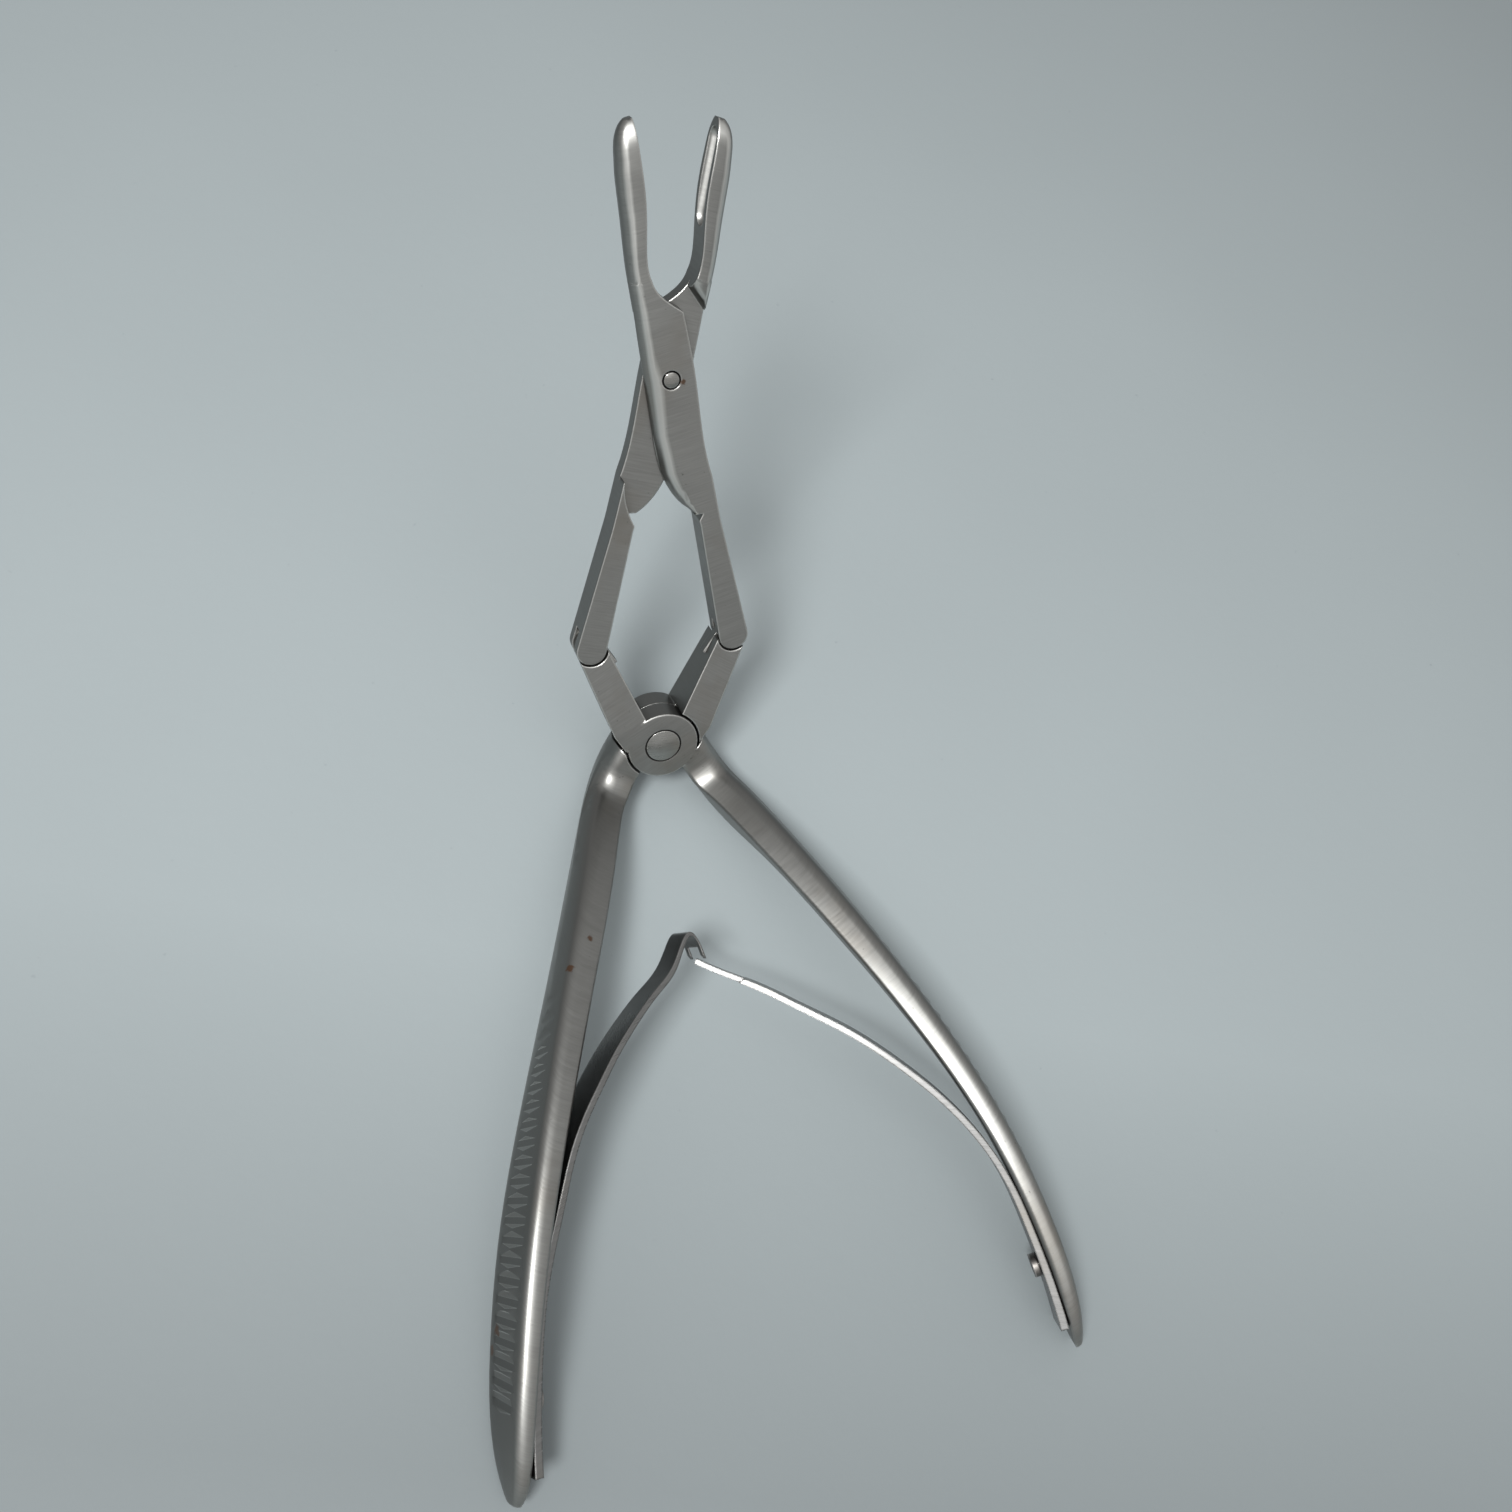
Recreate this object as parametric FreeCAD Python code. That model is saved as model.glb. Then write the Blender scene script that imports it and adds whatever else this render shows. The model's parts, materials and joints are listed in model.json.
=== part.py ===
"""Septum forceps: two crossed hinge levers drive two crossed cup jaws through a four-pin kite linkage.

Working frame: x across, y along the centre line towards the jaws, z along the hinge pin towards the front,
with z = 0 in the middle of the hinge. Everything is drawn fully open, as the forceps lies at rest, and the
whole is tipped onto its supports last, with its origin in the middle of the hinge's flat back face.
Jaws and levers are drawn once, for the front one, and turned over for the back one.
"""
import FreeCAD, Part
import math
import os
from FreeCAD import Matrix, Vector

# How far a cutter runs past what it cuts
overrun = 1.0
far = 60.0

# Hinge: two half-thickness discs lapped inside concentric recesses
hinge_thickness = 7.3
disc_radius = 5.7
disc_gap = 0.35
disc_edge = 0.15
lap_gap = 0.06
stop_gap = 0.35
stop_distance = 4.95
stop_angle = 38.3
main_pin_radius = 2.0
main_head_radius = 2.8
main_head_depth = 1.8
main_head_dome = 0.35
pin_fit = 0.03
dome_steps = 2

# Kite linkage in the open pose
arm_length = 20.9
arm_open_angle = 32.5
tang_length = 42.6
link_pin_radius = 1.0
open_pivot_clearance = 0.25

# Arms
arm_tip_outer = 2.3
arm_tip_inner = 2.2
arm_root_outer = 5.3
arm_root_inner = 0.2
arm_root_outer_y = 6.2
arm_root_inner_y = 5.4
arm_root_thickness = 7.0
arm_taper_start = 6.0
arm_taper_stop = 0.4
arm_hub_outline = [(3.0, -5.3), (-2.0, -3.0), (-2.0, 1.0)]
tongue_reach = 5.0
tongue_thickness = 1.5
tongue_radius = 2.0
tongue_side_gap = 0.1
shoulder_gap = 0.3

# Jaw levers
tang_thickness = 4.6
tang_end_radius = 2.3
tang_waist = 3.1
tang_waist_offset = 0.65
tang_waist_below = 1.0
fork_depth = 2.5
jaw_pin_radius = 1.2
jaw_pin_dome = 0.2
jaw_pin_chamfer = 0.15
round_steps = 3
foot_round = 1.8
edge_land = 0.3
bite_angle = 5.82
bite_gap = 0.1
cup_start = 14.0
cup_tip = 33.9
cup_wall = 0.75
cup_hollow_depth = 1.7
cup_hollow_length = 9.6
cup_tip_wall = 2.6
cup_flank_share = 0.55
cup_section_count = 9
cup_back_steps = 7

# Handles
handle_swing = 28.0
neck_length = 6.5
neck_bend_radius = 7.4
neck_angle = 69.3
end_angle = 34.7
bow_length = 100.4
outer_crown = 0.35
inner_corner_radius = 0.6
outer_corner_steps = 3
inner_corner_steps = 2
serration_count = 22
serration_pitch = 2.55
serration_radius = 2.0
serration_run_out = 1.1
serration_sides = 14
serration_depth = 0.45
serration_depth_slope = 0.004
serration_edge = 1.4
serration_end_margin = 12.0

# Leaf springs and their screws
spring_plane_angle = 42.1
spring_thickness = 1.2
spring_tip_thickness = 0.75
spring_curve_points = 16
spring_width = 6.2
spring_tip_width = 4.2
spring_taper_start = 57.0
spring_gap = 0.12
spring_rise = 13.1
tongue_width = 2.2
tongue_length = 6.0
hook_slot_width = 2.8
hook_slot_length = 2.6
hook_slot_depth = 4.0
screw_head_radius = 1.7
screw_head_height = 0.9
screw_shank_radius = 1.0
screw_depth = 1.6
screw_from_end = 13.0
screw_head_gap = 0.1
screw_end_gap = 0.3

# Rest pose: how far the hinge pin leans back from upright
rest_tilt = 57.8

# Points that shape the handle: place, offset from the middle plane, thickness, height and outer corner
handle_neck_sections = [
    (0.0, 3.5, 5.4, 7.0, 1.6), (0.35, 3.65, 5.5, 6.9, 2.2), (0.7, 4.0, 5.7, 6.7, 2.6),
]
handle_bow_sections = [
    (0.0, 4.6, 5.8, 6.5, 2.6), (0.12, 7.25, 5.4, 7.0, 2.3), (0.30, 10.5, 4.7, 8.0, 1.9),
    (0.50, 13.2, 3.8, 9.6, 1.6), (0.68, 13.9, 3.1, 10.8, 1.4), (0.82, 12.5, 2.8, 10.6, 1.3),
    (0.92, 10.4, 2.6, 9.2, 1.2), (0.97, 8.9, 2.1, 6.6, 1.0), (1.0, 8.0, 1.1, 2.8, 0.5),
]

# Places along the handle where each spring lies against it
spring_seat_shares = [0.96, 0.89, 0.81, 0.74]
slope_step = 0.01

# Points that shape the free part of each spring, in the plane of its handle: offset and distance from hinge
right_spring_free = [(10.3, 73.8), (7.9, 65.9), (6.3, 62.0), (2.0, 53.5), (-1.8, 47.7), (-5.6, 42.0),
                     (-9.7, 36.8), (-11.9, 33.7)]
left_spring_free = [(11.0, 72.0), (10.5, 65.0), (9.0, 58.8), (7.3, 54.0), (5.4, 49.4), (3.1, 45.1),
                    (0.3, 40.3), (-1.5, 37.0), (-2.3, 34.5), (-2.9, 32.5), (-3.7, 32.5), (-5.8, 35.5)]

# Points that shape a jaw lever, measured from the jaw pin with its own tang pointing down
heel_curve = [(-1.4, -20.7), (-2.8, -18.8), (-3.8, -16.3), (-4.3, -13.5)]
plate_outer = [(-4.1, -7.6), (-3.4, 0.0), (-2.85, 6.0)]
plate_inner = [(3.8, 8.7), (3.7, 4.6), (3.5, 0.3), (2.4, -12.0)]
step_curve = [(2.5, -15.6), (1.2, -19.0), (-0.9, -21.9)]
crook_line = [(-2.45, 9.9), (0.75, 12.5)]
foot_corner = (0.6, 14.0)
toe_curve = [foot_corner, (1.3, 11.7), (2.6, 10.0), (3.8, 8.7)]
step_corner = (1.9, -21.5)
round_widths = [0.5, 1.5, 2.1, 2.3, 2.3, 2.2, 2.0, 1.8, 1.5]
jaw_sections = [  # distance, rim, back and half height
    (14.0, 0.6, -2.15, 2.3), (18.2, 0.95, -1.7, 2.3), (22.0, 1.9, -1.15, 2.35), (26.0, 2.6, -0.65, 2.35),
    (30.0, 3.0, 0.05, 2.25), (32.0, 3.2, 0.65, 1.9), (33.3, 3.3, 1.45, 1.3), (33.9, 3.35, 2.2, 0.7),
]

half_hinge = hinge_thickness / 2
half_tang = tang_thickness / 2
link_x = arm_length * math.sin(math.radians(arm_open_angle))
link_y = arm_length * math.cos(math.radians(arm_open_angle))
jaw_pin_y = link_y + math.sqrt(tang_length**2 - link_x**2)
tang_open_angle = math.degrees(math.asin(link_x / tang_length))
axis_x = Vector(1, 0, 0)
axis_z = Vector(0, 0, 1)


def prism(points, low, high):
    corners = [Vector(x, y, low) for x, y in points]
    return Part.Face(Part.makePolygon(corners + corners[:1])).extrude(Vector(0, 0, high - low))


def cylinder(radius, low, high, x=0.0, y=0.0):
    return Part.makeCylinder(radius, high - low, Vector(x, y, low), axis_z)


def curve_edge(points, height):
    spline = Part.BSplineCurve()
    spline.interpolate([Vector(x, y, height) for x, y in points])
    return spline.toShape()


def line_edges(points, height):
    pairs = zip(points, points[1:])
    return [Part.LineSegment(Vector(*a, height), Vector(*b, height)).toShape() for a, b in pairs]


def turned(shape, angle, centre=(0.0, 0.0)):
    copy = shape.copy()
    copy.rotate(Vector(*centre, 0), axis_z, angle)
    return copy


def turned_over(shape):
    """The back copy of a front piece: half a turn about the centre line."""
    copy = shape.copy()
    copy.rotate(Vector(0, 0, 0), Vector(0, 1, 0), 180)
    return copy


def mirrored(shape):
    return shape.mirror(Vector(0, 0, 0), axis_x)


def revolved(profile, x=0.0, y=0.0):
    """Turned solid from (radius, height) points, on an upright axis."""
    corners = [Vector(x + radius, y, z) for radius, z in profile]
    return Part.Face(Part.makePolygon(corners + corners[:1])).revolve(Vector(x, y, 0), axis_z, 360)


def dome_profile(radius, base, rise):
    """Points of a low dome, from its rim to its top."""
    shares = [1 - i / dome_steps for i in range(dome_steps + 1)]
    return [(radius * share, base + rise * (1 - share**2)) for share in shares]


def edge_round(path, inward, low, high):
    """Cutter that rounds a long edge: its path gives points of the edge and the width of the round there."""
    step = 1 if high > low else -1
    wires = []
    for x, y, width in path:
        section = [(-1.0, low)]
        for i in range(round_steps + 1):
            angle = math.radians(90 * i / round_steps)
            section.append((width * (1 - math.cos(angle)), low + (high - low) * math.sin(angle)))
        section += [(width, high + step), (-1.0, high + step)]
        corners = [Vector(x + inward[0] * u, y + inward[1] * u, z) for u, z in section]
        wires.append(Part.makePolygon(corners + corners[:1]))
    return Part.makeLoft(wires, True, True)


def arm_blank():
    """Full-thickness arm, drawn pointing up the page and swung out to the left."""
    outline = [
        (-arm_tip_outer, arm_length), (-arm_root_outer, arm_root_outer_y),
        *((x, y) for y, x in arm_hub_outline),
        (arm_root_inner, arm_root_inner_y), (arm_tip_inner, arm_length),
    ]
    arm = prism(outline, -half_hinge, half_hinge)
    root, tip = arm_root_thickness / 2, half_tang
    taper_end = arm_length - arm_taper_stop
    side = [(-far, root), (arm_taper_start, root), (taper_end, tip), (far, tip)]
    corners = [Vector(-far, y, z) for y, z in side + [(y, -z) for y, z in reversed(side)]]
    wedge = Part.Face(Part.makePolygon(corners + corners[:1])).extrude(axis_x * 2 * far)
    arm = arm.common(wedge)
    arm = arm.cut(cylinder(tang_end_radius + shoulder_gap, -half_hinge, half_hinge, 0, arm_length))
    return turned(arm, arm_open_angle)


def arm_tongue(hole_radius):
    """Thin tongue that enters the fork of a jaw lever's tang."""
    half = tongue_thickness / 2
    tongue = cylinder(tongue_radius, -half, half, 0, arm_length)
    strip = [(-tongue_radius, arm_length - tongue_reach), (tongue_radius, arm_length - tongue_reach),
             (tongue_radius, arm_length), (-tongue_radius, arm_length)]
    tongue = tongue.fuse(prism(strip, -half, half))
    tongue = tongue.cut(cylinder(hole_radius, -half_hinge, half_hinge, 0, arm_length))
    return turned(tongue, arm_open_angle)


def stop_block(distance, beyond):
    """Half-space block on one side of the line where arm and neck meet when the forceps is open."""
    start = distance if beyond else distance - far
    block = Part.makeBox(far, far * 2, far, Vector(start, -far, -far / 2))
    return turned(block, -stop_angle)


def handle_axis(distance):
    """Point (y, z) and slope of the handle's centre line at a distance along it from the hinge."""
    bend = neck_bend_radius * math.radians(neck_angle)
    if distance <= neck_length:
        return -distance, 0.0, 0.0
    if distance <= neck_length + bend:
        angle = (distance - neck_length) / neck_bend_radius
        return (-neck_length - neck_bend_radius * math.sin(angle),
                neck_bend_radius * (1 - math.cos(angle)), angle)
    start, end = math.radians(neck_angle), math.radians(end_angle)
    bow_radius = bow_length / (start - end)
    angle = start - (distance - neck_length - bend) / bow_radius
    y = -neck_length - neck_bend_radius * math.sin(start) - bow_radius * (math.sin(start) - math.sin(angle))
    z = neck_bend_radius * (1 - math.cos(start)) + bow_radius * (math.cos(angle) - math.cos(start))
    return y, z, angle


def bow_distance(share):
    return neck_length + neck_bend_radius * math.radians(neck_angle) + share * bow_length


def handle_sections():
    sections = [(neck_length / 2, *handle_neck_sections[0][1:])]
    bend = neck_bend_radius * math.radians(neck_angle)
    sections += [(neck_length + share * bend, *rest) for share, *rest in handle_neck_sections]
    sections += [(bow_distance(share), *rest) for share, *rest in handle_bow_sections]
    return sections


def smooth_value(rows, column):
    """Smooth function of distance for one column of a table of sections."""
    spline = Part.BSplineCurve()
    spline.interpolate(
        Points=[Vector(row[0], row[column], 0) for row in rows], Parameters=[row[0] for row in rows]
    )
    return lambda distance: spline.value(distance).y


def handle_value(column):
    return smooth_value(handle_sections(), column)


def handle_frame(distance, offset):
    """Centre of the section, and its height direction."""
    y, z, angle = handle_axis(distance)
    return Vector(offset, y, z), Vector(0, math.sin(angle), math.cos(angle))


def stepped_corner(u, v, radius, start, steps):
    """Points round a corner of a section, from one tangent point to the next."""
    angles = [math.radians(start + 90 * i / steps) for i in range(steps + 1)]
    return [(u + radius * math.cos(angle), v + radius * math.sin(angle)) for angle in angles]


def section_wire(distance, offset, thickness, height, corner):
    """Section with a flat inner face and a crowned, well rounded outer face."""
    centre, up = handle_frame(distance, offset)
    a, b = thickness / 2, height / 2
    outer = min(corner, thickness * 0.6, b * 0.8)
    inner = min(inner_corner_radius, a * 0.5, b * 0.5)
    crown = outer_crown * min(1.0, thickness / 3)
    points = [
        (a + crown, 0.0),
        *stepped_corner(a - outer, b - outer, outer, 0, outer_corner_steps),
        *stepped_corner(-a + inner, b - inner, inner, 90, inner_corner_steps),
        *stepped_corner(-a + inner, -b + inner, inner, 180, inner_corner_steps),
        *stepped_corner(a - outer, -b + outer, outer, 270, outer_corner_steps),
    ]
    corners = [centre + axis_x * u + up * v for u, v in points]
    return Part.makePolygon(corners + corners[:1])


def spindle(middle, up, radius, thin, reach):
    """Many-sided bar with tapered ends, which cuts one groove that runs out at both ends."""
    side = up.cross(axis_x)
    angles = [2 * math.pi * (i + 0.5) / serration_sides for i in range(serration_sides)]
    wires = []
    for height, r in ((-reach - serration_run_out, thin), (-reach, radius), (reach, radius),
                      (reach + serration_run_out, thin)):
        corners = [middle + up * height + (axis_x * math.cos(a) + side * math.sin(a)) * r for a in angles]
        wires.append(Part.makePolygon(corners + corners[:1]))
    return Part.makeLoft(wires, True, True)


def serration_cutters():
    """Bars that cut shallow grooves across the outer face, deepest at the end of the handle."""
    offset_at, thickness_at, height_at = (handle_value(column) for column in (1, 2, 3))
    cutters = []
    last = bow_distance(1.0) - serration_end_margin
    for i in range(serration_count):
        distance = last - i * serration_pitch
        centre, up = handle_frame(distance, offset_at(distance))
        depth = serration_depth - serration_depth_slope * i * serration_pitch
        outer = thickness_at(distance) / 2 + outer_crown + serration_radius - depth
        reach = height_at(distance) / 2 - serration_edge - serration_run_out
        cutters.append(
            spindle(centre + axis_x * outer, up, serration_radius, serration_radius - depth, reach)
        )
    return cutters


def right_handle():
    """Neck and handle in the closed position of the lever, with its grip serrations."""
    handle = Part.makeLoft([section_wire(*row) for row in handle_sections()], True, False)
    return handle.cut(serration_cutters())


def lever(side, hole_radius):
    """Lever with its half disc: side 1 is the front one (left arm, right handle), side -1 the back one."""
    arm = arm_blank().common(mirrored(stop_block(stop_distance, False)))
    handle = turned(right_handle(), handle_swing).cut(stop_block(stop_distance + stop_gap, False))
    blank = arm.fuse(handle)
    tongue = arm_tongue(hole_radius)
    if side < 0:
        blank, tongue = mirrored(blank), mirrored(tongue)
    recess = cylinder(disc_radius + disc_gap, -half_hinge - overrun, lap_gap / 2)
    rim = disc_radius - disc_edge
    disc = revolved([(0, lap_gap / 2), (disc_radius, lap_gap / 2), (disc_radius, half_hinge - disc_edge),
                     (rim, half_hinge), (0, half_hinge)])
    if side < 0:
        recess, disc = turned_over(recess), turned_over(disc)
    blank = blank.cut(recess).fuse([disc, tongue])
    bore = cylinder(main_pin_radius + pin_fit, -half_hinge - overrun, half_hinge + overrun)
    seat = cylinder(main_head_radius + pin_fit, half_hinge - main_head_depth, half_hinge + overrun)
    return blank.cut([bore, seat, spring_screw_hole(side)])


def crossing_plate():
    """Half-thickness plate through which the jaw pin passes."""
    low = lap_gap / 2
    outline = [
        curve_edge(heel_curve + plate_outer + [crook_line[0], (jaw_sections[0][2], cup_start)], low),
        *line_edges([(jaw_sections[0][2], cup_start), toe_curve[0]], low),
        curve_edge(toe_curve, low),
        curve_edge(plate_inner + [step_curve[0]], low),
        *line_edges([step_curve[0], step_corner, heel_curve[0]], low),
    ]
    return Part.Face(Part.Wire(outline)).extrude(Vector(0, 0, half_tang - low))


def jaw_base():
    """Full-thickness foot of the cup, above the crook where the other lever's plate ends."""
    points = [*crook_line, foot_corner, (jaw_sections[0][2], cup_start)]
    return prism(points, -half_tang, half_tang)


def tang():
    """Full-thickness tang with its round forked end."""
    low = -half_tang
    r = tang_end_radius
    waist_y = step_curve[-1][1] - tang_waist_below
    waist_in, waist_out = tang_waist_offset - tang_waist / 2, tang_waist_offset + tang_waist / 2
    outline = [
        Part.Arc(*(Vector(x, y, low) for x, y in step_curve)).toShape(),
        *line_edges([step_curve[-1], (waist_in, waist_y), (-r, -tang_length)], low),
        Part.Arc(Vector(-r, -tang_length, low), Vector(0, -tang_length - r, low),
                 Vector(r, -tang_length, low)).toShape(),
        *line_edges([(r, -tang_length), (waist_out, waist_y), step_curve[0]], low),
    ]
    solid = Part.Face(Part.Wire(outline)).extrude(Vector(0, 0, tang_thickness))
    slot = tongue_thickness / 2 + tongue_side_gap
    fork = Part.makeBox(far, fork_depth + far, 2 * slot, Vector(-far / 2, -tang_length - far, -slot))
    hole = cylinder(link_pin_radius, -half_tang - overrun, half_tang + overrun, 0, -tang_length)
    return solid.cut([fork, hole])


def cup():
    """Long cup with a flat cutting rim, a round back and a hollow, lofted from D sections."""
    wires = []
    rim_at, back_at, half_at = (smooth_value(jaw_sections, column) for column in (1, 2, 3))
    start, end = jaw_sections[0][0], jaw_sections[-1][0]
    for i in range(cup_section_count):
        y = start + (end - start) * math.sin(math.pi / 2 * i / (cup_section_count - 1))
        rim, back, half = rim_at(y), back_at(y), half_at(y)
        flank = back + (rim - back) * cup_flank_share
        corners = [Vector(rim, y, -half), Vector(rim, y, half)]
        for j in range(cup_back_steps + 1):
            angle = math.pi * (0.5 + j / cup_back_steps)
            corners.append(Vector(flank + (flank - back) * math.cos(angle), y, half * math.sin(angle)))
        wires.append(Part.makePolygon(corners + corners[:1]))
    body = Part.makeLoft(wires, True, False)
    radius = half_tang - cup_wall
    bite = math.radians(bite_angle)
    end = Vector(math.tan(bite) * (cup_tip - cup_tip_wall), cup_tip - cup_tip_wall, 0)
    start = end - Vector(math.sin(bite), math.cos(bite), 0) * cup_hollow_length
    hollow = Part.makeCylinder(radius, cup_hollow_length, start, end - start)
    hollow = hollow.fuse([Part.makeSphere(radius, start), Part.makeSphere(radius, end)])
    return body.cut(hollow)


def jaw_rounds():
    """Cutters that carry the cup's round back down along the plate, and round the foot at the crook."""
    edge = heel_curve + plate_outer + [crook_line[0], (jaw_sections[0][2], cup_start)]
    path = [(x, y, width) for (x, y), width in zip(edge, round_widths)]
    (x0, y0), (x1, y1) = crook_line
    length = math.hypot(x1 - x0, y1 - y0)
    along = ((x1 - x0) / length, (y1 - y0) / length)
    inward = (-along[1], along[0])
    foot = [
        (x0 - along[0] * overrun, y0 - along[1] * overrun, foot_round),
        (x1 + along[0] * overrun, y1 + along[1] * overrun, foot_round),
    ]
    return [
        edge_round(path, (1, 0), edge_land, half_tang),
        edge_round(path[-2:], (1, 0), -edge_land, -half_tang),
        edge_round(foot, inward, -edge_land, -half_tang),
    ]


def front_jaw():
    """Right tang, front plate and left cup of one jaw lever, set on the jaw pin in the open pose."""
    plate_round, foot_side_round, crook_round = jaw_rounds()
    jaw = tang().fuse([crossing_plate(), jaw_base().cut(crook_round), cup()])
    hole = jaw_pin_radius + pin_fit
    bore = cylinder(hole, -half_tang - overrun, half_tang + overrun)
    mouth = Part.makeCone(
        hole, hole + jaw_pin_chamfer, jaw_pin_chamfer, Vector(0, 0, half_tang - jaw_pin_chamfer)
    )
    jaw = jaw.cut([plate_round, foot_side_round, bore, mouth])
    jaw = turned(jaw, tang_open_angle)
    jaw.translate(Vector(0, jaw_pin_y, 0))
    return jaw


def spring_frame():
    angle = math.radians(spring_plane_angle)
    return Vector(0, -math.cos(angle), math.sin(angle)), Vector(0, math.sin(angle), math.cos(angle))


def spring_seat(share):
    """Offset and distance of the spring's centre line where it lies along the handle."""
    offset_at, thickness_at = handle_value(1), handle_value(2)
    distance = bow_distance(share)
    y, z, _ = handle_axis(distance)
    along, _ = spring_frame()
    inner = offset_at(distance) - thickness_at(distance) / 2
    return inner - spring_gap - spring_thickness / 2, Vector(0, y, z).dot(along)


def ribbon(points, width):
    """Strip of spring steel that thins towards its last point."""
    centre = Part.BSplineCurve()
    centre.interpolate([Vector(x, s, 0) for x, s in points])
    first, last = centre.FirstParameter, centre.LastParameter
    left, right = [], []
    for i in range(spring_curve_points + 1):
        share = i / spring_curve_points
        value = first + (last - first) * share
        point, tangent = centre.value(value), centre.tangent(value)[0]
        normal = Vector(-tangent.y, tangent.x, 0)
        half = (spring_thickness + (spring_tip_thickness - spring_thickness) * share) / 2
        left.append(point + normal * half)
        right.append(point - normal * half)
    along, up = spring_frame()

    def placed(p):
        return axis_x * p.x + along * p.y + up * (spring_rise - width / 2)

    sides = []
    for row in (left, right[::-1]):
        spline = Part.BSplineCurve()
        spline.interpolate([placed(p) for p in row])
        sides.append(spline.toShape())
    ends = [Part.LineSegment(placed(left[-1]), placed(right[-1])).toShape(),
            Part.LineSegment(placed(right[0]), placed(left[0])).toShape()]
    strip = Part.Face(Part.Wire([sides[0], ends[0], sides[1], ends[1]])).extrude(up * width)
    return strip.common(taper_block(points[-1][1]))


def taper_block(tip):
    """Block that narrows the free part of the strip evenly towards its tip."""
    along, up = spring_frame()
    root_half, tip_half = spring_width / 2, spring_tip_width / 2
    edge = [(spring_taper_start + far, root_half), (spring_taper_start, root_half),
            (tip, tip_half), (tip - far, tip_half)]
    outline = edge + [(s, -half) for s, half in reversed(edge)]
    corners = [axis_x * -far + along * s + up * (spring_rise + half) for s, half in outline]
    return Part.Face(Part.makePolygon(corners + corners[:1])).extrude(axis_x * 2 * far)


def spring_screw_axis():
    """Point on the spring's inner face, and the direction square to it into the handle."""
    share = 1 - screw_from_end / bow_length
    offset, s = spring_seat(share)
    before, after = spring_seat(share - slope_step), spring_seat(share + slope_step)
    along, up = spring_frame()
    slope = along * (after[1] - before[1]) + axis_x * (after[0] - before[0])
    into = up.cross(slope).normalize()
    return axis_x * offset + along * s + up * spring_rise - into * spring_thickness / 2, into


def spring_screw_hole(side):
    point, into = spring_screw_axis()
    depth = spring_thickness + spring_gap + screw_depth + screw_end_gap
    hole = turned(Part.makeCylinder(screw_shank_radius + pin_fit, depth, point, into), handle_swing)
    return hole if side > 0 else mirrored(hole)


def spring_screw():
    point, into = spring_screw_axis()
    under = point - into * screw_head_gap
    length = screw_head_gap + spring_thickness + spring_gap + screw_depth
    head = Part.makeCylinder(screw_head_radius, screw_head_height, under - into * screw_head_height, into)
    shank = Part.makeCylinder(screw_shank_radius, length, under, into)
    return head.fuse(shank)


def leaf_spring(free_points):
    seat = [spring_seat(share) for share in spring_seat_shares]
    strip = ribbon(seat + free_points, spring_width)
    point, into = spring_screw_axis()
    length = spring_thickness + 2 * overrun
    hole = Part.makeCylinder(screw_shank_radius + pin_fit, length, point - into * overrun, into)
    return strip.cut(hole)


def spring_box(offset, distance, length, width, height):
    """Block in the spring's plane, centred on a point, with its long side along the handle."""
    along, up = spring_frame()
    box = Part.makeBox(width, length, height, Vector(-width / 2, -length / 2, -height / 2))
    middle = along * distance + up * spring_rise
    matrix = Matrix(1, 0, 0, offset, 0, along.y, up.y, middle.y, 0, along.z, up.z, middle.z, 0, 0, 0, 1)
    return box.transformGeometry(matrix)


def right_spring():
    """Its tip is a narrow tongue that enters the hook of the left spring."""
    strip = leaf_spring(right_spring_free)
    tip_x, tip_s = right_spring_free[-1]
    margin = (spring_width - tongue_width) / 2
    _, up = spring_frame()
    block = spring_box(tip_x, tip_s, 2 * tongue_length, far, margin)
    shift = up * (tongue_width + margin) / 2
    return strip.cut([block.translated(shift), block.translated(-shift)])


def left_spring():
    """Its tip is bent back into a hook with a slot for the tongue of the right spring."""
    strip = leaf_spring(left_spring_free)
    tip_x, tip_s = left_spring_free[-1]
    return strip.cut(spring_box(tip_x, tip_s, hook_slot_length, hook_slot_depth, hook_slot_width))


def main_pivot_pin():
    """Headed pin, its head sunk in the front disc with a low dome, its tail flush with the back face."""
    seat = half_hinge - main_head_depth + pin_fit
    return revolved([(0, -half_hinge), (main_pin_radius, -half_hinge), (main_pin_radius, seat),
                     (main_head_radius, seat), *dome_profile(main_head_radius, half_hinge, main_head_dome)])


def jaw_pivot_pin():
    """Rivet with a low domed head on both faces of the crossing."""
    top = dome_profile(jaw_pin_radius, half_tang, jaw_pin_dome)
    bottom = [(radius, -z) for radius, z in reversed(top)]
    return revolved(bottom + top, 0, jaw_pin_y)


def link_pin(side):
    """Pin ground flush with both cheeks of the fork."""
    return cylinder(link_pin_radius, -half_tang, half_tang, side * link_x, link_y)


def at_rest(shape):
    """Tips the drawn forceps onto its supports, with the back face's centre at the origin."""
    copy = shape.copy()
    copy.translate(Vector(0, 0, half_hinge))
    copy.rotate(Vector(0, 0, 0), axis_x, rest_tilt)
    return copy


def pieces():
    jaw = front_jaw()
    return {
        "front_lever": lever(1, link_pin_radius + pin_fit),
        "back_lever": lever(-1, link_pin_radius + open_pivot_clearance),
        "front_jaw": jaw,
        "back_jaw": turned_over(jaw),
        "main_pivot_pin": main_pivot_pin(),
        "jaw_pivot_pin": jaw_pivot_pin(),
        "left_link_pin": link_pin(-1),
        "right_link_pin": link_pin(1),
        "left_leaf_spring": turned(mirrored(left_spring()), -handle_swing),
        "right_leaf_spring": turned(right_spring(), handle_swing),
        "left_spring_screw": turned(mirrored(spring_screw()), -handle_swing),
        "right_spring_screw": turned(spring_screw(), handle_swing),
    }


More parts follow.
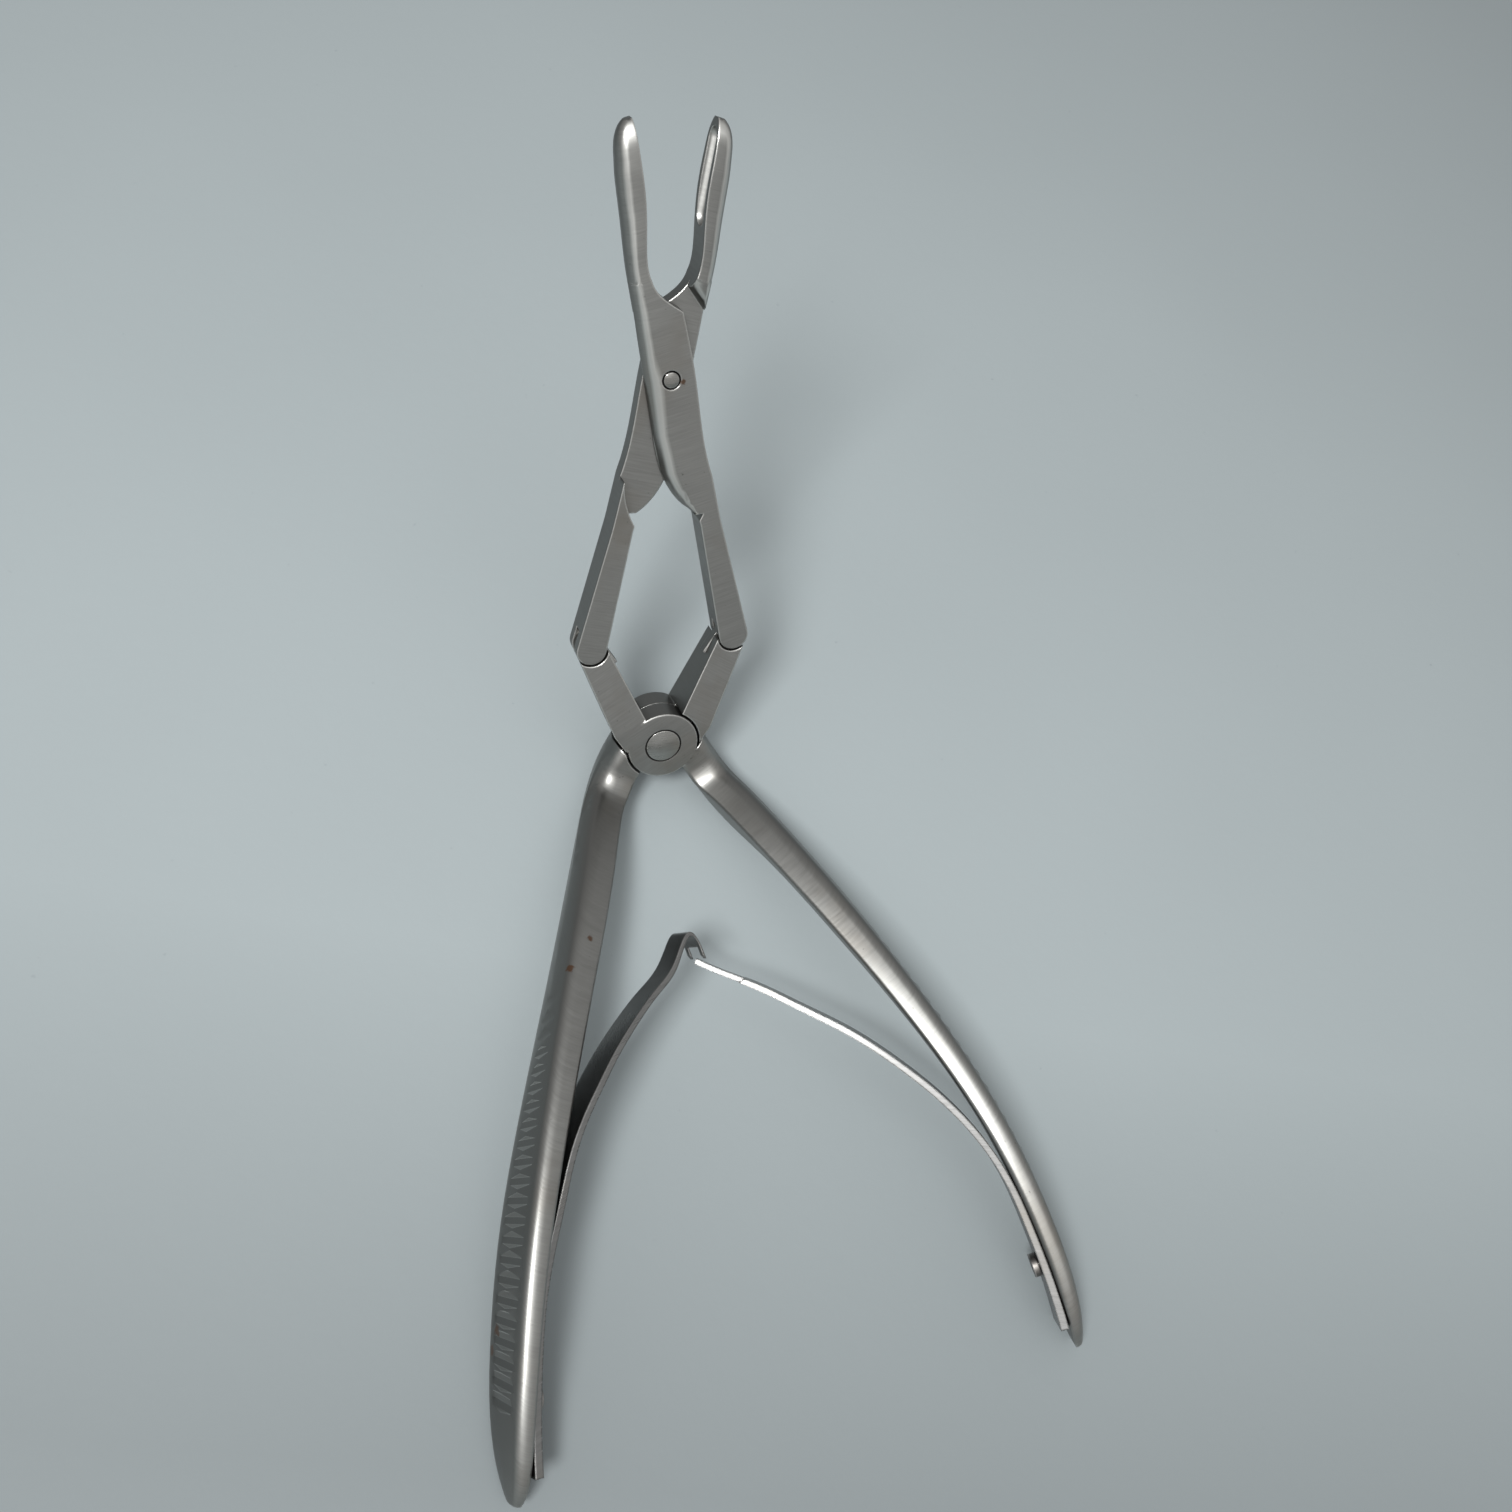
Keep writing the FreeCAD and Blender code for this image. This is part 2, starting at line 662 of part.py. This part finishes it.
os.makedirs("parts", exist_ok=True)
for name, shape in pieces().items():
    at_rest(shape).exportStep(f"parts/{name}.step")
    print(name, len(shape.Solids), round(shape.Volume, 1), shape.isValid())
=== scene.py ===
"""Looks of the septum forceps: satin stainless steel, lying open on a pale blue-grey table top."""

import json
import math

import bmesh
import bpy
from mathutils import Matrix, Vector


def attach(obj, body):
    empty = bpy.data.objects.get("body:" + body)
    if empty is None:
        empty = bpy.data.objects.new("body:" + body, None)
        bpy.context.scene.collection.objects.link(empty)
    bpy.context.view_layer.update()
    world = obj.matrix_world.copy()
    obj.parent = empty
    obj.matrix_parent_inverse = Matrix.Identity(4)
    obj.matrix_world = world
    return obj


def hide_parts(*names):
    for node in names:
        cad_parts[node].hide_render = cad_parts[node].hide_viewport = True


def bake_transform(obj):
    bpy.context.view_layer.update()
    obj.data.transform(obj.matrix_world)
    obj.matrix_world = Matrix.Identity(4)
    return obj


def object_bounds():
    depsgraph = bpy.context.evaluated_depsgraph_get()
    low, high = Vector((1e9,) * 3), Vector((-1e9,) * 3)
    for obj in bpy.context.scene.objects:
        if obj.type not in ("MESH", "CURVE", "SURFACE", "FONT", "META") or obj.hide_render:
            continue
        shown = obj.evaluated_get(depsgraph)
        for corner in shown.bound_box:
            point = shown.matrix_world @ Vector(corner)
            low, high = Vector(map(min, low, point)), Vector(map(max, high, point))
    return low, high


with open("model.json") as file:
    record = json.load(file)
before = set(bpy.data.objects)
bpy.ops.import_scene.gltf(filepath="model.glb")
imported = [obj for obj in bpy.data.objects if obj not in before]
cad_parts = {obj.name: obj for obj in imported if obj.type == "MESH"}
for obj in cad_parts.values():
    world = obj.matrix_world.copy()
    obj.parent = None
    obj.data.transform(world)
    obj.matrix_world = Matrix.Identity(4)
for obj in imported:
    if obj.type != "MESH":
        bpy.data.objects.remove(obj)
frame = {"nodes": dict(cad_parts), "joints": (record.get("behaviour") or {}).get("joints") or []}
cad_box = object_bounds()

nodes = frame["nodes"]
joints = {joint["name"]: joint for joint in frame["joints"]}

# Frame of the forceps itself: across, along the centre line to the jaws, and along the hinge pin to its head
hinge_point = Vector(joints["main_hinge"]["pos_m"])
hinge_axis = Vector(joints["main_hinge"]["axis"]).normalized()
across = Vector((1, 0, 0))
to_jaws = hinge_axis.cross(across)
left_link_point = Vector(joints["left_link"]["pos_m"])
jaw_pivot_point = Vector(joints["jaw_pivot"]["pos_m"])

# Camera, as it stands to the forceps: its own right, up and back, and the hinge seen from it, in metres
camera_lens = 36.1
camera_sensor = 36.0
jaws_in_camera = Vector((0.059, 0.84, 0.539)).normalized()
across_in_camera = Vector((0.942, 0.132, -0.309))
hinge_in_camera = Vector((-0.01583, 0.00354, -0.24206))

# Table top: a pool of light that fades outwards, and a shade that deepens towards the viewer
table_half_size = 1.6
table_color = (0.297, 0.336, 0.346)
pool_centre = (0.030, 0.010, 0.0)
pool_radius = 0.30
pool_edge = 0.74
pool_curve = 1.5
table_shade_range = (0.97, 1.03)
speck_color = (0.15, 0.17, 0.18)
table_roughness = 0.75
table_relief = 0.0004
table_relief_strength = 0.12
shade_direction = (-0.30, -0.85, 0.0)
shade_start = 0.035
shade_end = 0.100
shade_depth = 0.62

# Window light, up and to the left: place, size across and up, power
window_light = ((-0.41, -0.26, 0.76), (0.24, 0.22), 7.0)

# Room: a broad glow above and behind the viewer, dim walls elsewhere
glow_direction = (-0.05, -0.40, 0.91)
wall_level = 0.50
glow_level = 2.0
glow_start = 0.75
glow_curve = 1.4

# Smooth copies: facets that meet at less than this belong to one rounded surface
handle_smooth_angle = math.radians(50)
jaw_smooth_angle = math.radians(40)
small_smooth_angle = math.radians(35)

merge_distance = 2e-6

# Serrations: where they begin, how far their edges may lean from straight across, and from which angle
# they are sharp
serration_start = -0.050
crest_lean = 0.5
crest_angle = math.radians(6)

# Open angles of arms and tangs, from the places of the pivots
arm_angle = (left_link_point - hinge_point).angle(to_jaws)
tang_angle = (left_link_point - jaw_pivot_point).angle(-to_jaws)

right_link_point = Vector((-left_link_point.x, left_link_point.y, left_link_point.z))

steel_color = (0.318, 0.318, 0.304)
pin_color = (0.40, 0.40, 0.38)
spring_color = (0.25, 0.25, 0.245)
screw_color = (0.24, 0.23, 0.22)
stain_color = (0.255, 0.235, 0.205)
pit_and_seam_shade_color = (0.035, 0.032, 0.030)
rust_color = (0.12, 0.055, 0.025)

# Brushed lines: how much finer they run along the piece than across it, and the height of their relief
brush_stretch = (5200, 170, 170)
brush_relief = 0.00004

# Tones as shares of the plain steel: furrows and crests of the brushed lines, rubbed edges with a painted
# highlight, flanks darkened with painted shade
furrow_share = 0.90
crest_share = 1.08
edge_polish_highlight_share = 2.3
flank_shade_share = 0.45

# Wear: width of the rubbed edges, which also carry a painted highlight, and how fully stains, pits and rust
# cover the steel
edge_radius = 0.00038
stain_cover = 0.55
pit_cover = 0.5
rust_cover = 0.8

# Roughness: how it varies with the brushed lines and with smudges, and how much rubbing takes off it
line_roughness = (-0.03, 0.04)
smudge_roughness = (-0.04, 0.05)
rubbed_roughness = -0.06

# Flush rivets, whose rim doesn't show, and pin heads with painted shade in the seam round them: radius
flush_radius = 0.0014
main_seam_radius = 0.00283
jaw_seam_radius = 0.00123
seam_width = 0.00020
flush_margin = 0.0001

# Rust freckles: centre and radius
handle_rust = [((-0.0185, -0.0360, 0.0062), 0.0007), ((-0.0224, -0.0401, 0.0070), 0.0010),
               ((-0.0407, -0.0851, -0.0004), 0.0012), ((-0.0416, -0.0872, -0.0024), 0.0010)]
jaw_rust = [((0.00164, 0.0261, 0.0526), 0.0007)]


def link(tree, source, target):
    tree.links.new(source, target)


def new_group(name, inputs, outputs):
    """Empty shader group with its sockets; inputs and outputs are (name, type, default)."""
    group = bpy.data.node_groups.new(name, "ShaderNodeTree")
    for socket_name, kind, default in inputs:
        socket = group.interface.new_socket(name=socket_name, in_out="INPUT", socket_type=kind)
        if default is not None:
            socket.default_value = default
    for socket_name, kind in outputs:
        group.interface.new_socket(name=socket_name, in_out="OUTPUT", socket_type=kind)
    entry = group.nodes.new("NodeGroupInput")
    leave = group.nodes.new("NodeGroupOutput")
    return group, entry, leave


def noise(tree, vector, scale, detail=2.0, rough=0.5):
    node = tree.nodes.new("ShaderNodeTexNoise")
    node.inputs["Scale"].default_value = scale
    node.inputs["Detail"].default_value = detail
    node.inputs["Roughness"].default_value = rough
    link(tree, vector, node.inputs["Vector"])
    return node.outputs["Fac"]


def remap(tree, value, low, high, to_low, to_high):
    node = tree.nodes.new("ShaderNodeMapRange")
    node.inputs["From Min"].default_value = low
    node.inputs["From Max"].default_value = high
    node.inputs["To Min"].default_value = to_low
    node.inputs["To Max"].default_value = to_high
    link(tree, value, node.inputs["Value"])
    return node.outputs["Result"]


def math_node(tree, operation, first, second):
    node = tree.nodes.new("ShaderNodeMath")
    node.operation = operation
    for socket, value in zip(node.inputs, (first, second)):
        if isinstance(value, (int, float)):
            socket.default_value = value
        else:
            link(tree, value, socket)
    return node.outputs["Value"]


def vector_node(tree, operation, first, second=None):
    """Vector maths; its answer is at the Value or the Vector output, as the operation has it."""
    node = tree.nodes.new("ShaderNodeVectorMath")
    node.operation = operation
    for socket, value in zip(node.inputs, (first, second)):
        if isinstance(value, bpy.types.NodeSocket):
            link(tree, value, socket)
        elif value is not None:
            socket.default_value = value
    return node.outputs


def scaled(color, share):
    return tuple(min(1.0, channel * share) for channel in color)


def brushed_grain_group():
    """Fine parallel scratches: noise squeezed along the piece, so that each line runs across it."""
    group, entry, leave = new_group(
        "brushed_grain",
        [("Vector", "NodeSocketVector", None), ("Stretch", "NodeSocketVector", brush_stretch)],
        [("Lines", "NodeSocketFloat")],
    )
    stretched = vector_node(group, "MULTIPLY", entry.outputs["Vector"], entry.outputs["Stretch"])["Vector"]
    link(group, noise(group, stretched, scale=1.0, detail=3.0, rough=0.65), leave.inputs["Lines"])
    return group


def handling_group():
    """Marks of use: soft smudges, faint stains, and tiny pits and specks."""
    group, entry, leave = new_group(
        "handling_marks",
        [("Vector", "NodeSocketVector", None)],
        [("Smudge", "NodeSocketFloat"), ("Stain", "NodeSocketFloat"), ("Pits", "NodeSocketFloat")],
    )
    place = entry.outputs["Vector"]
    link(group, noise(group, place, scale=95.0, detail=3.0, rough=0.55), leave.inputs["Smudge"])
    stain = noise(group, place, scale=60.0, detail=4.0, rough=0.6)
    link(group, remap(group, stain, 0.50, 0.68, 0.0, 1.0), leave.inputs["Stain"])
    specks = noise(group, place, scale=2100.0, detail=1.0, rough=0.4)
    link(group, remap(group, specks, 0.75, 0.84, 0.0, 1.0), leave.inputs["Pits"])
    return group


def rubbed_and_highlit_edge_group():
    """Mask of the edges, where handling has polished the steel and where a painted highlight goes, and the
    normal that rounds them over.
    """
    group, entry, leave = new_group(
        "rubbed_and_highlit_edge",
        [],
        [("Edge", "NodeSocketFloat"), ("Normal", "NodeSocketVector")],
    )
    bevel = group.nodes.new("ShaderNodeBevel")
    bevel.samples = 6
    bevel.inputs["Radius"].default_value = edge_radius
    geometry = group.nodes.new("ShaderNodeNewGeometry")
    likeness = vector_node(group, "DOT_PRODUCT", bevel.outputs["Normal"], geometry.outputs["Normal"])["Value"]
    link(group, remap(group, likeness, 0.998, 0.94, 0.0, 1.0), leave.inputs["Edge"])
    link(group, bevel.outputs["Normal"], leave.inputs["Normal"])
    return group


def rust_group():
    """Mask of one small freckle of rust round a place on the piece."""
    group, entry, leave = new_group(
        "rust_freckle",
        [("Vector", "NodeSocketVector", None), ("Centre", "NodeSocketVector", (0, 0, 0)),
         ("Radius", "NodeSocketFloat", 0.001)],
        [("Mask", "NodeSocketFloat")],
    )
    place = entry.outputs["Vector"]
    distance = vector_node(group, "DISTANCE", place, entry.outputs["Centre"])["Value"]
    share = math_node(group, "DIVIDE", distance, entry.outputs["Radius"])
    ragged = math_node(group, "ADD", share, noise(group, place, scale=1400.0, detail=2.0, rough=0.6))
    link(group, remap(group, ragged, 0.95, 1.25, 1.0, 0.0), leave.inputs["Mask"])
    return group


def pin_distance_group():
    """Distance from the axis of a pin, which is parallel to the hinge pin."""
    group, entry, leave = new_group(
        "pin_distance",
        [("Vector", "NodeSocketVector", None), ("Pin", "NodeSocketVector", (0, 0, 0))],
        [("Distance", "NodeSocketFloat")],
    )
    away = vector_node(group, "SUBTRACT", entry.outputs["Vector"], entry.outputs["Pin"])["Vector"]
    turned = vector_node(group, "CROSS_PRODUCT", away, hinge_axis)["Vector"]
    link(group, vector_node(group, "LENGTH", turned)["Value"], leave.inputs["Distance"])
    return group


def facing_masks_group():
    """Masks of the flanks, which get painted shade, and of the rounded ridges between them and the flat
    faces, which get a painted highlight.
    """
    group, entry, leave = new_group(
        "facing", [], [("FlankShade", "NodeSocketFloat"), ("RidgeHighlight", "NodeSocketFloat")]
    )
    normal = group.nodes.new("ShaderNodeNewGeometry").outputs["Normal"]
    facing = math_node(group, "ABSOLUTE", vector_node(group, "DOT_PRODUCT", normal, hinge_axis)["Value"], 0.0)
    link(group, remap(group, facing, 0.10, 0.60, 1.0, 0.0), leave.inputs["FlankShade"])
    rising = remap(group, facing, 0.62, 0.80, 0.0, 1.0)
    falling = remap(group, facing, 0.93, 0.985, 1.0, 0.0)
    link(group, math_node(group, "MULTIPLY", rising, falling), leave.inputs["RidgeHighlight"])
    return group


grain_group = brushed_grain_group()
marks_group = handling_group()
edge_group = rubbed_and_highlit_edge_group()
freckle_group = rust_group()
pin_group = pin_distance_group()
facing_group = facing_masks_group()


def use_group(tree, group, **inputs):
    node = tree.nodes.new("ShaderNodeGroup")
    node.node_tree = group
    for name, value in inputs.items():
        if isinstance(value, bpy.types.NodeSocket):
            link(tree, value, node.inputs[name])
        else:
            node.inputs[name].default_value = value
    return node


def mix_color(tree, factor, first, second):
    node = tree.nodes.new("ShaderNodeMix")
    node.data_type = "RGBA"
    link(tree, factor, node.inputs["Factor"])
    for socket, value in ((node.inputs["A"], first), (node.inputs["B"], second)):
        if isinstance(value, bpy.types.NodeSocket):
            link(tree, value, socket)
        else:
            socket.default_value = (*value, 1)
    return node.outputs["Result"]


def mix_vector(tree, factor, first, second):
    node = tree.nodes.new("ShaderNodeMix")
    node.data_type = "VECTOR"
    for name, source in (("Factor", factor), ("A", first), ("B", second)):
        link(tree, source, node.inputs[name])
    return node.outputs["Result"]


def steel(name, along, color, rough=0.38, lines=0.26, edges=1.0, ridge_highlight=0.0,
          freckles=(), flush_pin=None, seam=None):
    """Satin steel whose brush lines run across the direction 'along'."""
    material = bpy.data.materials.new(name)
    material.use_nodes = True
    tree = material.node_tree
    shader = tree.nodes["Principled BSDF"]
    shader.inputs["Metallic"].default_value = 1.0
    place = tree.nodes.new("ShaderNodeTexCoord").outputs["Object"]
    mapping = tree.nodes.new("ShaderNodeMapping")
    side = hinge_axis.cross(along)
    turn = Matrix((along, side, hinge_axis))
    mapping.inputs["Rotation"].default_value = turn.to_euler()
    link(tree, place, mapping.inputs["Vector"])
    grain = use_group(tree, grain_group, Vector=mapping.outputs["Vector"])
    marks = use_group(tree, marks_group, Vector=place)
    edge = use_group(tree, edge_group)
    worn_and_highlit, normal = edge.outputs["Edge"], edge.outputs["Normal"]
    if flush_pin:
        radial = use_group(tree, pin_group, Vector=place, Pin=flush_pin)
        inner = flush_radius - flush_margin
        clear = remap(tree, radial.outputs["Distance"], inner, flush_radius, 0.0, 1.0)
        worn_and_highlit = math_node(tree, "MULTIPLY", worn_and_highlit, clear)
        flat = tree.nodes.new("ShaderNodeNewGeometry").outputs["Normal"]
        normal = mix_vector(tree, clear, flat, normal)

    highlight_tint = scaled(color, edge_polish_highlight_share)
    line_tone = remap(tree, grain.outputs["Lines"], 0.3, 0.7, 0.0, 1.0)
    tint = mix_color(tree, line_tone, scaled(color, furrow_share), scaled(color, crest_share))
    stained = math_node(tree, "MULTIPLY", marks.outputs["Stain"], stain_cover)
    tint = mix_color(tree, stained, tint, stain_color)
    pitted = math_node(tree, "MULTIPLY", marks.outputs["Pits"], pit_cover)
    tint = mix_color(tree, pitted, tint, pit_and_seam_shade_color)
    # Rubbed edges: polished steel there is lighter, and a painted highlight brightens it further, scaled by
    # 'edges'.
    tint = mix_color(tree, math_node(tree, "MULTIPLY", worn_and_highlit, edges), tint, highlight_tint)
    facing = use_group(tree, facing_group)
    # Painted shade: flanks that turn away from the hinge axis are darkened.
    tint = mix_color(tree, facing.outputs["FlankShade"], tint, scaled(color, flank_shade_share))
    # Painted highlight along the rounded ridges between the flanks and the flat faces.
    tint = mix_color(tree, math_node(tree, "MULTIPLY", facing.outputs["RidgeHighlight"], ridge_highlight), tint, highlight_tint)
    # Painted shade in the seam: a dark ring round the pin heads.
    if seam:
        pin, radius = seam
        radial = use_group(tree, pin_group, Vector=place, Pin=pin)
        off = math_node(tree, "SUBTRACT", radial.outputs["Distance"], radius)
        off = math_node(tree, "ABSOLUTE", off, 0.0)
        tint = mix_color(tree, remap(tree, off, seam_width * 0.5, seam_width, 1.0, 0.0), tint, pit_and_seam_shade_color)
    for centre, radius in freckles:
        freckle = use_group(tree, freckle_group, Vector=place, Centre=centre, Radius=radius)
        rusty = math_node(tree, "MULTIPLY", freckle.outputs["Mask"], rust_cover)
        tint = mix_color(tree, rusty, tint, rust_color)
    link(tree, tint, shader.inputs["Base Color"])

    smoothest, roughest = (rough + change for change in line_roughness)
    line_rough = remap(tree, grain.outputs["Lines"], 0.3, 0.7, smoothest, roughest)
    smudge_rough = remap(tree, marks.outputs["Smudge"], 0.3, 0.7, *smudge_roughness)
    total = math_node(tree, "ADD", line_rough, smudge_rough)
    rubbed = math_node(tree, "MULTIPLY", worn_and_highlit, rubbed_roughness)
    link(tree, math_node(tree, "ADD", total, rubbed), shader.inputs["Roughness"])

    bump = tree.nodes.new("ShaderNodeBump")
    bump.inputs["Strength"].default_value = lines
    bump.inputs["Distance"].default_value = brush_relief
    link(tree, grain.outputs["Lines"], bump.inputs["Height"])
    link(tree, normal, bump.inputs["Normal"])
    link(tree, bump.outputs["Normal"], shader.inputs["Normal"])
    return material


def direction(angle):
    """Direction in the plane of the forceps, turned from the jaws towards the right."""
    return across * math.sin(angle) + to_jaws * math.cos(angle)


def dress(node_name, material):
    """Gives a carried-over node its finished material."""
    mesh = nodes[node_name].data
    mesh.materials.clear()
    mesh.materials.append(material)


def is_crest(edge):
    """Whether an edge runs across the handles where they are serrated."""
    start, end = (vert.co for vert in edge.verts)
    return max(start.y, end.y) < serration_start and abs((end - start).normalized().y) < crest_lean


def smooth_copy(name, node_name, material, smooth_angle):
    """Copy of a CAD node with its facets merged, so that light runs smoothly over its rounded surfaces."""
    mesh = nodes[node_name].data.copy()
    mesh.name = name
    shape = bmesh.new()
    shape.from_mesh(mesh)
    bmesh.ops.remove_doubles(shape, verts=shape.verts, dist=merge_distance)
    for face in shape.faces:
        face.smooth = True
    for edge in shape.edges:
        limit = crest_angle if is_crest(edge) else smooth_angle
        edge.smooth = edge.is_manifold and edge.calc_face_angle() < limit
    shape.to_mesh(mesh)
    shape.free()
    mesh.attributes.remove(mesh.attributes["custom_normal"])
    mesh.materials.clear()
    mesh.materials.append(material)
    piece = bpy.data.objects.new(name, mesh)
    bpy.context.scene.collection.objects.link(piece)
    even = piece.modifiers.new("even_shading", "WEIGHTED_NORMAL")
    even.keep_sharp = True
    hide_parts(node_name)
    return piece


def spring_blade(name, node_name, material):
    """Copy of a leaf spring, merged and smoothly shaded, with its placement baked into the mesh."""
    blade = smooth_copy(name, node_name, material, small_smooth_angle)
    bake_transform(blade)


def make_table():
    half = table_half_size
    floor_mesh = bpy.data.meshes.new("table_top")
    shape = bmesh.new()
    bmesh.ops.create_grid(shape, x_segments=1, y_segments=1, size=half)
    shape.to_mesh(floor_mesh)
    shape.free()
    table = bpy.data.objects.new("table_top", floor_mesh)
    table.location.z = cad_box[0][2] - 0.0001
    bpy.context.scene.collection.objects.link(table)

    material = bpy.data.materials.new("table_paper")
    material.use_nodes = True
    tree = material.node_tree
    shader = tree.nodes["Principled BSDF"]
    place = tree.nodes.new("ShaderNodeTexCoord").outputs["Object"]
    cloud = remap(tree, noise(tree, place, scale=9.0), 0.3, 0.7, 0.0, 1.0)
    deep, pale = (scaled(table_color, share) for share in table_shade_range)
    tint = mix_color(tree, cloud, deep, pale)
    specks = noise(tree, place, scale=420.0, detail=2.0, rough=0.6)
    tint = mix_color(tree, remap(tree, specks, 0.74, 0.80, 0.0, 0.35), tint, speck_color)
    distance = vector_node(tree, "DISTANCE", place, pool_centre)["Value"]
    fade = math_node(tree, "POWER", remap(tree, distance, 0.0, pool_radius, 0.0, 1.0), pool_curve)
    tint = mix_color(tree, fade, tint, scaled(table_color, pool_edge))
    nearness = vector_node(tree, "DOT_PRODUCT", place, shade_direction)["Value"]
    shade = remap(tree, nearness, shade_start, shade_end, 0.0, 1.0)
    tint = mix_color(tree, shade, tint, scaled(table_color, shade_depth))
    link(tree, tint, shader.inputs["Base Color"])
    shader.inputs["Roughness"].default_value = table_roughness
    bump = tree.nodes.new("ShaderNodeBump")
    bump.inputs["Strength"].default_value = table_relief_strength
    bump.inputs["Distance"].default_value = table_relief
    link(tree, noise(tree, place, scale=260.0, detail=4.0, rough=0.6), bump.inputs["Height"])
    link(tree, bump.outputs["Normal"], shader.inputs["Normal"])
    floor_mesh.materials.append(material)


def make_light(name, setting):
    place, size, power = setting
    data = bpy.data.lights.new(name, "AREA")
    data.shape = "RECTANGLE"
    data.size, data.size_y = size
    data.energy = power
    lamp = bpy.data.objects.new(name, data)
    lamp.location = place
    lamp.rotation_euler = (-Vector(place)).to_track_quat("-Z", "Y").to_euler()
    bpy.context.scene.collection.objects.link(lamp)


def make_room():
    """Dim walls, and a broad glow above and behind the viewer."""
    world = bpy.data.worlds.new("room")
    bpy.context.scene.world = world
    world.use_nodes = True
    tree = world.node_tree
    sky = tree.nodes["Background"]
    place = tree.nodes.new("ShaderNodeTexCoord").outputs["Generated"]
    likeness = vector_node(tree, "DOT_PRODUCT", place, Vector(glow_direction).normalized())["Value"]
    glow = math_node(tree, "POWER", remap(tree, likeness, glow_start, 1.0, 0.0, 1.0), glow_curve)
    level = remap(tree, glow, 0.0, 1.0, wall_level, glow_level)
    tone = tree.nodes.new("ShaderNodeCombineColor")
    for channel in ("Red", "Green", "Blue"):
        link(tree, level, tone.inputs[channel])
    link(tree, tone.outputs["Color"], sky.inputs["Color"])


def make_camera():
    forceps = Matrix((across, to_jaws, hinge_axis)).transposed().to_4x4()
    forceps.translation = hinge_point
    x = (across_in_camera - jaws_in_camera * across_in_camera.dot(jaws_in_camera)).normalized()
    seen = Matrix((x, jaws_in_camera, x.cross(jaws_in_camera))).transposed().to_4x4()
    seen.translation = hinge_in_camera
    data = bpy.data.cameras.new("camera")
    data.lens = camera_lens
    data.sensor_width = camera_sensor
    data.clip_start = 0.01
    camera = bpy.data.objects.new("camera", data)
    camera.matrix_world = forceps @ seen.inverted()
    bpy.context.scene.collection.objects.link(camera)
    bpy.context.scene.camera = camera


make_camera()
make_table()
make_light("window", window_light)
make_room()
bpy.context.scene.view_settings.view_transform = "Standard"

hinge_seam = (hinge_point, main_seam_radius)
jaw_seam = (jaw_pivot_point, jaw_seam_radius)
front_lever_steel = steel("front_lever_steel", direction(-arm_angle), steel_color, seam=hinge_seam)
back_lever_steel = steel("back_lever_steel", direction(arm_angle), steel_color, freckles=handle_rust)
front_jaw_steel = steel("front_jaw_steel", direction(-tang_angle), steel_color, ridge_highlight=0.8, freckles=jaw_rust,
                        flush_pin=right_link_point, seam=jaw_seam)
back_jaw_steel = steel("back_jaw_steel", direction(tang_angle), steel_color, ridge_highlight=0.8,
                       flush_pin=left_link_point)
main_pin_steel = steel("main_pin_steel", to_jaws, pin_color, rough=0.27, seam=hinge_seam)
jaw_pin_steel = steel("jaw_pin_steel", to_jaws, pin_color, rough=0.27, seam=jaw_seam)
spring_steel = steel("spring_strip_steel", to_jaws, spring_color, rough=0.30, lines=0.08, edges=0.1)
screw_steel = steel("old_screw_steel", to_jaws, screw_color, rough=0.42)

for node_name, body, material, smooth_angle in (
    ("front_lever", "front_lever", front_lever_steel, handle_smooth_angle),
    ("back_lever", "back_lever", back_lever_steel, handle_smooth_angle),
    ("front_jaw", "front_jaw", front_jaw_steel, jaw_smooth_angle),
    ("back_jaw", "back_jaw", back_jaw_steel, jaw_smooth_angle),
    ("main_pivot_pin", "front_lever", main_pin_steel, small_smooth_angle),
    ("jaw_pivot_pin", "back_jaw", jaw_pin_steel, small_smooth_angle),
):
    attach(smooth_copy(node_name + "_finish", node_name, material, smooth_angle), body)
dress("left_link_pin", back_jaw_steel)
dress("right_link_pin", front_jaw_steel)
for screw_name in ("left_spring_screw", "right_spring_screw"):
    dress(screw_name, screw_steel)
spring_blade("left_spring_blade", "left_leaf_spring", spring_steel)
spring_blade("right_spring_blade", "right_leaf_spring", spring_steel)
